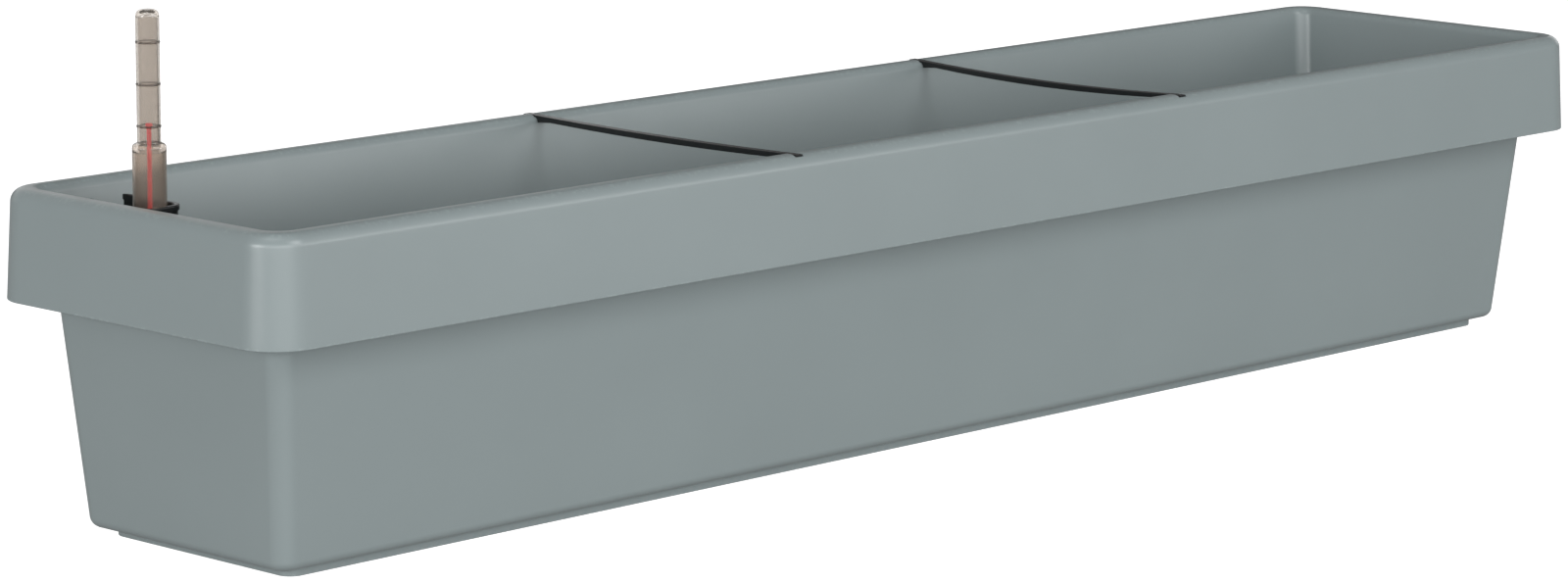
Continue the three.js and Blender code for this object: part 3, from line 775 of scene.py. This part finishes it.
def add_gauge_tube(material):
    low, high = extent("gauge_tube")
    radius = (high.x - low.x) / 2
    shoulder, neck = (RIM_Z + rise for rise in GAUGE_SHOULDER)
    bore = radius - GAUGE_WALL
    slim_bore = SLIM_RADIUS - SLIM_WALL
    middle_z = 70
    round_shoulder = 2.1
    round_top = 3
    outside = [(radius - 0.4, low.z), (radius, low.z + 0.4)]
    outside += [(radius, middle_z), (radius, RIM_Z - 20)]
    outside += arc((radius - round_shoulder, neck - 2.3), round_shoulder, 0, 0.85)
    outside += arc((SLIM_RADIUS + 0.5, neck + 0.45), 0.5, 2.9, 2, 4)
    for rise in GAUGE_MARKS:
        outside += [(SLIM_RADIUS + x, RIM_Z + rise + z) for x, z in MARK_PROFILE]
    outside += arc((SLIM_RADIUS - round_top, high.z - round_top), round_top, 0, 1)
    inside = [(0, high.z - 2), (2.6, high.z - 2.1), (3.6, high.z - 2.5), (slim_bore, high.z - 3.6)]
    inside += [(slim_bore, neck - 0.4), (slim_bore + 0.3, neck - 1.1)]
    inside += [(bore - 0.9, shoulder - 0.9), (bore, shoulder - 2), (bore, middle_z)]
    inside += [(bore, low.z + 0.4), (bore + 0.3, low.z)]
    profile = [(0, high.z), *reversed(outside), *reversed(inside)]
    tube = mesh_object("gauge", turned(profile, steps=96))
    finish_piece(at_gauge(tube), "gauge_glass", "gauge_tube", "gauge", material)


def add_gauge_foot(material):
    low, high = extent("gauge_foot")
    radius = (high.x - low.x) / 2
    bore = 4.5
    flange_z = low.z + 5.4
    spigot = 6.7
    edge = 0.3
    profile = [(bore, low.z + edge), (bore + edge, low.z)]
    profile += [(radius - 0.5, low.z), (radius, low.z + 0.5)]
    profile += [(radius, flange_z - edge), (radius - edge, flange_z), (spigot, flange_z)]
    profile += [(spigot, high.z - 1), (spigot - 0.5, high.z)]
    profile += [(bore + edge, high.z), (bore, high.z - edge)]
    foot = mesh_object("foot", turned(profile, closed=True))
    for turn in (0, QUARTER):
        notch = plate("notch", [rectangle(-2, 2, -3.5, 3.5, 0.8, 0.8, 4)], 2 * radius + 4, 0)
        moved(notch, z=low.z, turn=Matrix.Rotation(turn, 4, "Z") @ UPRIGHT)
        boolean(foot, notch, "DIFFERENCE")
    finish_piece(at_gauge(foot), "gauge_sieve", "gauge_foot", "gauge", material)


def add_float(foam, red):
    low, high = extent("float_body")
    radius = (high.x - low.x) / 2
    rod_low, rod_high = extent("float_rod")
    rod = ROD_RADIUS
    socket = rod + 0.3
    socket_z = rod_low.z - 0.3
    edge = 1.2
    profile = [(0, low.z + 0.3), (1.5, low.z), *arc((radius - edge, low.z + edge), edge, 3, 4, 5)]
    profile += [(radius, low.z + 8), (radius, high.z - 8)]
    profile += arc((radius - edge, high.z - edge), edge, 0, 1, 5)
    profile += [(socket + 0.4, high.z), (socket, high.z - 0.4), (socket, socket_z), (0, socket_z)]
    body = at_gauge(mesh_object("float", turned(profile)))
    finish_piece(body, "float_foam", "float_body", "float", foam)

    knob = (rod_high.x - rod_low.x) / 2
    knob_z = rod_high.z - 1.1
    profile = [(0, rod_low.z), (rod - 0.3, rod_low.z), (rod, rod_low.z + 0.3)]
    profile += [(rod, 100), (rod, knob_z - 1.5)]
    profile += arc((rod + 0.4, knob_z - 1.3), 0.4, 2, 1.2, 3)
    profile += arc((knob - 0.7, knob_z - 0.3), 0.7, 3.2, 4, 4)
    profile += arc((knob - 1.0, rod_high.z - 1.0), 1.0, 0, 1, 6)
    profile += [(0, rod_high.z)]
    stick = at_gauge(mesh_object("rod", turned(profile, steps=32)))
    finish_piece(stick, "float_stick", "float_rod", "float", red)


# ---- Braces ----


def sagging(start, end, sag, steps=36):
    """A shallow parabola between two points, without its ends."""
    run, rise = end[0] - start[0], end[1] - start[1]
    points = []
    for step in range(1, steps):
        share = step / steps
        drop = 4 * sag * share * (1 - share)
        points.append((start[0] + run * share, start[1] + rise * share - drop))
    return points


def brace_outline(sag):
    """The brace seen along the trough, in Y and Z.

    It is a bar with a gusset at each end and a thin tab over each rim.
    """
    crest = (CAVITY_HIGH.half_width + INNER_FILLET, CAVITY_HIGH.z)
    clearance = INNER_FILLET + BRACE_GAP
    gusset, tab = (
        math.acos((z - crest[1]) / clearance) / QUARTER for z in (BRACE_GUSSET_Z, BRACE_TAB_Z)
    )
    under = [(BRACE_GUSSET_END_Y, BRACE_LOW_Z), *arc(crest, clearance, 1 + gusset, 1 + tab, 8)]
    tip = [(BRACE_TAB_TIP_Y, BRACE_TAB_Z), (BRACE_TAB_TIP_Y, BRACE_TOP_Z)]
    right = under + tip + [(crest[0], BRACE_TOP_Z)]
    left = [(-y, z) for y, z in reversed(right)]
    over = sagging(right[-1], left[0], sag)
    below = sagging(left[-1], right[0], sag)
    return right + over + left + below


def add_brace(name, sag, material):
    x = middle_x(name)
    bar = moved(plate(name, [brace_outline(sag)], BRACE_WIDTH, BRACE_BEVEL), x, turn=ACROSS)
    root = (BRACE_TAB_Z + BRACE_TOP_Z) / 2
    tip = root - PEG_LENGTH
    profile = [(0, tip), (PEG_RADIUS - 0.6, tip), (PEG_RADIUS, tip + 0.8)]
    profile += [(PEG_RADIUS, root), (0, root)]
    pegs = copies(mesh_object("peg", turned(profile, steps=32)), [(x, -PEG_Y), (x, PEG_Y)])
    boolean(bar, pegs, "UNION")
    side = name.removeprefix("brace_")
    finish_piece(bar, f"cross_{name}", name, f"{side}_brace", material)


# ---- Materials ----


def new_material(name):
    material = bpy.data.materials.new(name)
    material.use_nodes = True
    return material, material.node_tree, material.node_tree.nodes["Principled BSDF"]


def node(tree, kind, **values):
    made = tree.nodes.new(kind)
    for key, value in values.items():
        if key in made.inputs:
            made.inputs[key].default_value = value
        else:
            setattr(made, key, value)
    return made


def place_of(tree):
    """The point in the model's own metres."""
    return tree.nodes.new("ShaderNodeTexCoord").outputs["Object"]


def height_of(tree):
    """The height above the ground in metres."""
    split = tree.nodes.new("ShaderNodeSeparateXYZ")
    tree.links.new(place_of(tree), split.inputs["Vector"])
    return split.outputs["Z"]


def noise_of(tree, scale, detail=2.0, stretch=None):
    """Noise in the model's own metres, its value from 0 to 1."""
    texture = node(tree, "ShaderNodeTexNoise", Scale=scale, Detail=detail)
    source = place_of(tree)
    if stretch is not None:
        mapping = node(tree, "ShaderNodeMapping", Scale=stretch)
        tree.links.new(source, mapping.inputs["Vector"])
        source = mapping.outputs["Vector"]
    tree.links.new(source, texture.inputs["Vector"])
    return texture.outputs["Fac"]


def spread(tree, value, low, high, from_low=0.3, from_high=0.7):
    """The value mapped to a range."""
    made = tree.nodes.new("ShaderNodeMapRange")
    ends = {"From Min": from_low, "From Max": from_high, "To Min": low, "To Max": high}
    for key, number in ends.items():
        made.inputs[key].default_value = number
    tree.links.new(value, made.inputs["Value"])
    return made.outputs["Result"]


def multiplied(tree, first, second):
    made = tree.nodes.new("ShaderNodeMath")
    made.operation = "MULTIPLY"
    for socket, value in zip(made.inputs, (first, second)):
        if isinstance(value, (int, float)):
            socket.default_value = value
        else:
            tree.links.new(value, socket)
    return made.outputs["Value"]


# The Mix node has sockets of the same name for each kind of data; these are the colour's.
MIX_A, MIX_B, MIX_RESULT = 6, 7, 2


def mixed(tree, share, first, second):
    """A colour between two, each a colour or another node's output."""
    made = tree.nodes.new("ShaderNodeMix")
    made.data_type = "RGBA"
    tree.links.new(share, made.inputs["Factor"])
    for socket, colour in ((made.inputs[MIX_A], first), (made.inputs[MIX_B], second)):
        if isinstance(colour, tuple):
            socket.default_value = (*colour, 1)
        else:
            tree.links.new(colour, socket)
    return made.outputs[MIX_RESULT]


def bumps(tree, shader, layers):
    """Layers of relief, each a height from 0 to 1 with its depth in metres."""
    normal = None
    for height, depth in layers:
        bump = node(tree, "ShaderNodeBump", Distance=depth, Strength=1.0)
        tree.links.new(height, bump.inputs["Height"])
        if normal is not None:
            tree.links.new(normal, bump.inputs["Normal"])
        normal = bump.outputs["Normal"]
    tree.links.new(normal, shader.inputs["Normal"])


def band(tree, z, half_height):
    """1 at a height above the ground and 0 further than half_height from it."""
    away = node(tree, "ShaderNodeMath", operation="SUBTRACT")
    tree.links.new(height_of(tree), away.inputs[0])
    away.inputs[1].default_value = z * MM
    distance = node(tree, "ShaderNodeMath", operation="ABSOLUTE")
    tree.links.new(away.outputs["Value"], distance.inputs[0])
    reach = half_height * MM
    return spread(tree, distance.outputs["Value"], 1, 0, 0.4 * reach, reach)


def scaled(colour, factor):
    return tuple(channel * factor for channel in colour)


# Scales of the plastic's noises, per metre.
CLOUD_SCALE = 9
GLOSS_SCALE = 60
SCUFF_AND_HIGHLIGHT_SCALE = 420
WAVE_SCALE = 7

# How far the roughness strays from its middle: far more would show as marks in soft reflections.
GLOSS_LOW, GLOSS_HIGH = -0.012, 0.03

# The scuffed bands are lighter: partly wear, and partly a painted highlight along edges.
SCUFF_AND_HIGHLIGHT_COVER = 0.45
SCUFF_AND_HIGHLIGHT_BRIGHTER = 1.45


def plastic(name, colour, rough, grain, grain_depth, worn_and_highlit_edges=(), variation=0.04, wave=0.0):
    """Moulded plastic: slight colour clouds, uneven gloss, fine grain, and lighter scuffed bands at
    edges that are partly wear and partly a painted highlight.

    Worn_and_highlit_edges gives the heights of the lighter scuffed bands, each with its band's half
    height in millimetres; besides wear, these bands paint a highlight along the edges.
    The wave is the depth of the wall's shallow unevenness in metres.
    """
    material, tree, shader = new_material(name)
    clouds = spread(tree, noise_of(tree, CLOUD_SCALE, 3), 0, 1)
    base = mixed(tree, clouds, scaled(colour, 1 - variation), scaled(colour, 1 + variation))
    gloss = spread(tree, noise_of(tree, GLOSS_SCALE, 4), rough + GLOSS_LOW, rough + GLOSS_HIGH)
    # Lighter scuffed bands at given heights: partly wear and partly a painted highlight on the edge.
    for z, half_height in worn_and_highlit_edges:
        scuff_and_highlight_patches = spread(tree, noise_of(tree, SCUFF_AND_HIGHLIGHT_SCALE, 5), 0, 1, 0.5, 0.72)
        edge_wear_and_highlight = multiplied(tree, band(tree, z, half_height), scuff_and_highlight_patches)
        cover = multiplied(tree, edge_wear_and_highlight, SCUFF_AND_HIGHLIGHT_COVER)
        base = mixed(tree, cover, base, scaled(colour, SCUFF_AND_HIGHLIGHT_BRIGHTER))
    tree.links.new(base, shader.inputs["Base Color"])
    tree.links.new(gloss, shader.inputs["Roughness"])
    layers = [(noise_of(tree, grain, 2), grain_depth)]
    if wave:
        layers.insert(0, (noise_of(tree, WAVE_SCALE, 1), wave))
    bumps(tree, shader, layers)
    return material


def add_painted_glow(material, colour, strength):
    """Painted light: a weak emission of the plastic's own, so that the rod looks lit inside the
    tinted tube.
    """
    shader = material.node_tree.nodes["Principled BSDF"]
    shader.inputs["Emission Color"].default_value = (*colour, 1)
    shader.inputs["Emission Strength"].default_value = strength


def smoked_plastic():
    """Clear plastic with a grey-brown smoke tint, polished above its shoulder and frosted below."""
    material, tree, shader = new_material("smoked_clear")
    streaks = noise_of(tree, 260, 3, stretch=(1, 1, 0.06))
    shoulder = (RIM_Z + GAUGE_SHOULDER[0]) * MM
    frosted = spread(tree, height_of(tree), 1, 0, shoulder, shoulder + 0.003)
    clear = mixed(tree, spread(tree, streaks, 0, 1), (0.565, 0.52, 0.475), (0.6, 0.555, 0.51))
    base = mixed(tree, frosted, clear, (0.56, 0.49, 0.43))
    ring_colour = (0.16, 0.13, 0.11)
    for rise in GAUGE_MARKS:
        base = mixed(tree, band(tree, RIM_Z + rise, MARK_PROFILE[-1][1]), base, ring_colour)
    tree.links.new(base, shader.inputs["Base Color"])
    uneven = spread(tree, noise_of(tree, 90, 3), 0.9, 1.1)
    polished, dull_rough = 0.03, 0.2
    dull = spread(tree, frosted, polished, dull_rough, 0, 1)
    tree.links.new(multiplied(tree, dull, uneven), shader.inputs["Roughness"])
    bumps(tree, shader, [(streaks, 0.00001)])
    shader.inputs["Transmission Weight"].default_value = 0.9
    shader.inputs["IOR"].default_value = 1.49
    return material


def foam_material():
    """White foam with small cells, darker between them."""
    material, tree, shader = new_material("closed_cell_foam")
    cells = node(tree, "ShaderNodeTexVoronoi", Scale=1500.0)
    tree.links.new(place_of(tree), cells.inputs["Vector"])
    shade = spread(tree, cells.outputs["Distance"], 0, 1, 0.1, 0.7)
    base = mixed(tree, shade, (0.86, 0.85, 0.8), (0.7, 0.68, 0.62))
    tree.links.new(base, shader.inputs["Base Color"])
    tree.links.new(spread(tree, noise_of(tree, 200), 0.7, 0.9), shader.inputs["Roughness"])
    bumps(tree, shader, [(cells.outputs["Distance"], 0.0002)])
    return material


def felt_material():
    """Needled felt: tangled fibres, darker below where the water stains it."""
    material, tree, shader = new_material("needled_felt")
    fibres = noise_of(tree, 900, 6, stretch=(1, 1, 0.35))
    tangle = noise_of(tree, 2600, 4)
    base = mixed(tree, spread(tree, fibres, 0, 1), (0.72, 0.70, 0.63), (0.50, 0.48, 0.42))
    damp = spread(tree, height_of(tree), 0.5, 0, 0.012, 0.045)
    tree.links.new(mixed(tree, damp, base, (0.36, 0.31, 0.24)), shader.inputs["Base Color"])
    tree.links.new(spread(tree, tangle, 0.88, 1.0), shader.inputs["Roughness"])
    bumps(tree, shader, [(fibres, 0.0006), (tangle, 0.0002)])
    shader.inputs["Sheen Weight"].default_value = 0.35
    shader.inputs["Sheen Roughness"].default_value = 0.5
    return material


# ---- Stage, light and camera ----


SEEN_WHITE = 1.1
FLOOR_LIGHT = 0.14
ROUND_LIGHT = 0.15


def seen_strength(tree, otherwise):
    """White for what is seen, directly or through clear plastic, and another strength for light."""
    path = tree.nodes.new("ShaderNodeLightPath")
    either = node(tree, "ShaderNodeMath", operation="MAXIMUM")
    tree.links.new(path.outputs["Is Camera Ray"], either.inputs[0])
    tree.links.new(path.outputs["Is Transmission Ray"], either.inputs[1])
    return spread(tree, either.outputs["Value"], otherwise, SEEN_WHITE, 0, 1)


def add_floor_plane():
    """White where it is seen, and a dimmer table under the planter for the light."""
    bm = bmesh.new()
    bmesh.ops.create_grid(bm, x_segments=4, y_segments=4, size=12)
    mesh = bpy.data.meshes.new("studio_floor")
    bm.to_mesh(mesh)
    bm.free()
    floor = bpy.data.objects.new("studio_floor", mesh)
    bpy.context.scene.collection.objects.link(floor)
    floor.location.z = -0.0004  # clear of the foot
    material, tree, shader = new_material("white_floor")
    shader.inputs["Base Color"].default_value = (0.3, 0.3, 0.3, 1)
    shader.inputs["Roughness"].default_value = 1.0
    shader.inputs["Specular IOR Level"].default_value = 0.0
    shader.inputs["Emission Color"].default_value = (1, 1, 1, 1)
    strength = seen_strength(tree, FLOOR_LIGHT)
    tree.links.new(strength, shader.inputs["Emission Strength"])
    mesh.materials.append(material)
    floor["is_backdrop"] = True


def add_world():
    """White all round: pure white where it is seen, dimmer where it lights the planter."""
    world = bpy.data.worlds.new("studio")
    bpy.context.scene.world = world
    world.use_nodes = True
    tree = world.node_tree
    background = tree.nodes["Background"]
    background.inputs["Color"].default_value = (1, 1, 1, 1)
    tree.links.new(seen_strength(tree, ROUND_LIGHT), background.inputs["Strength"])


def add_softbox(name, place, target, size, power):
    light = bpy.data.lights.new(name, "AREA")
    light.shape = "RECTANGLE"
    light.size, light.size_y = size
    light.energy = power
    softbox = bpy.data.objects.new(name, light)
    bpy.context.scene.collection.objects.link(softbox)
    softbox.location = place
    softbox.rotation_euler = (Vector(target) - Vector(place)).to_track_quat("-Z", "Y").to_euler()


# A kind of panel: its height angle in degrees, and its distance and size in metres.
LOW_PANEL = (9, 3.4, (1.5, 0.95))
MIDDLE_PANEL = (33, 3.4, (1.3, 1.4))
HIGH_PANEL = (62, 3.2, (1.8, 1.2))

# Panels round the planter's middle: name, angle round Z from +X in degrees, kind, and watts.
PANELS = (
    ("low_left", 180, LOW_PANEL, 41.2),
    ("low_left_front", 205, LOW_PANEL, 12.4),
    ("low_corner", 228, LOW_PANEL, 18.5),
    ("low_front_left", 252, LOW_PANEL, 23.4),
    ("low_front", 278, LOW_PANEL, 10.6),
    ("low_front_right", 305, LOW_PANEL, 16.8),
    ("middle_front", 278, MIDDLE_PANEL, 32.5),
    ("middle_front_right", 305, MIDDLE_PANEL, 3.1),
    ("high_left", 200, HIGH_PANEL, 12.1),
    ("low_right", 15, LOW_PANEL, 6),
    ("low_back_right", 60, LOW_PANEL, 2.5),
    ("low_back", 110, LOW_PANEL, 2.5),
)
MIDDLE = (0, 0, 0.1)


def add_softboxes():
    for name, round_angle, (height_angle, distance, size), power in PANELS:
        turn = math.radians(round_angle)
        rise = math.radians(height_angle)
        flat = distance * math.cos(rise)
        up = distance * math.sin(rise)
        place = (flat * math.cos(turn), flat * math.sin(turn), MIDDLE[2] + up)
        add_softbox(name, place, MIDDLE, size, power)
    add_softbox("behind", (0.4, 3.2, 1.6), MIDDLE, (3.0, 1.5), 9.6)


CAMERA_PLACE = (-2.1041, -1.9704, 0.5938)
CAMERA_YAW = math.radians(46.08)
CAMERA_PITCH = math.radians(10.31)
CAMERA_ROLL = math.radians(0.2795)
CAMERA_LENS = 125.52


def add_camera():
    data = bpy.data.cameras.new("camera")
    data.lens = CAMERA_LENS
    data.sensor_width = 36
    data.clip_start = 0.05
    data.clip_end = 50
    camera = bpy.data.objects.new("camera", data)
    bpy.context.scene.collection.objects.link(camera)
    turn = Matrix.Rotation(-CAMERA_YAW, 4, "Z") @ Matrix.Rotation(QUARTER - CAMERA_PITCH, 4, "X")
    roll = Matrix.Rotation(CAMERA_ROLL, 4, "Z")
    camera.matrix_world = Matrix.Translation(CAMERA_PLACE) @ turn @ roll
    bpy.context.scene.camera = camera


# ---- The scene ----

add_camera()
add_floor_plane()
add_world()
add_softboxes()
bpy.context.scene.view_settings.view_transform = "Standard"

GREY_GREEN = (0.232, 0.272, 0.276)
BLACK = (0.005, 0.006, 0.0065)
CHARCOAL = (0.035, 0.037, 0.038)
RUBBER = (0.02, 0.02, 0.021)
RED = (0.9, 0.006, 0.012)

# The lighter bands at the rim's crest and the skirt's edge are partly scuffing and partly a painted
# highlight; the band at the foot is wear.
grey_green = plastic(
    "grey_green_plastic", GREY_GREEN, rough=0.3, grain=1600, grain_depth=0.00002,
    worn_and_highlit_edges=[(RIM_Z, 2.5), (SHOULDER_Z, 1.5), (0, 1.5)], variation=0.02, wave=0.0002,
)
black = plastic(
    "black_plastic", BLACK, rough=0.24, grain=900, grain_depth=0.00003,
    worn_and_highlit_edges=[(extent("fill_shaft")[1].z, 1)],
)
charcoal = plastic(
    "charcoal_plastic", CHARCOAL, rough=0.48, grain=700, grain_depth=0.00006,
    worn_and_highlit_edges=[(PLATE_TOP, 0.3)], variation=0.08,
)
rubber = plastic("rubber", RUBBER, rough=0.62, grain=1300, grain_depth=0.00004)
red = plastic("red_plastic", RED, rough=0.3, grain=900, grain_depth=0.00002)
# painted light: the red rod glows so that it shows lit through the tinted tube
add_painted_glow(red, (1, 0.01, 0.02), 0.25)
felt = felt_material()

add_trough(grey_green)
add_stopper(rubber)
for side in ("left", "middle", "right"):
    add_floor(side, charcoal)
    for number in (1, 2):
        add_wick(side, number, felt)
add_shaft(black)
add_gauge_tube(smoked_plastic())
add_gauge_foot(black)
add_float(foam_material(), red)
for brace, sag in BRACE_SAGS.items():
    add_brace(brace, sag, black)

sizes = {"cad": cad_box, "visual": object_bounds()}
{key: [list(corner) for corner in box] for key, box in sizes.items()}
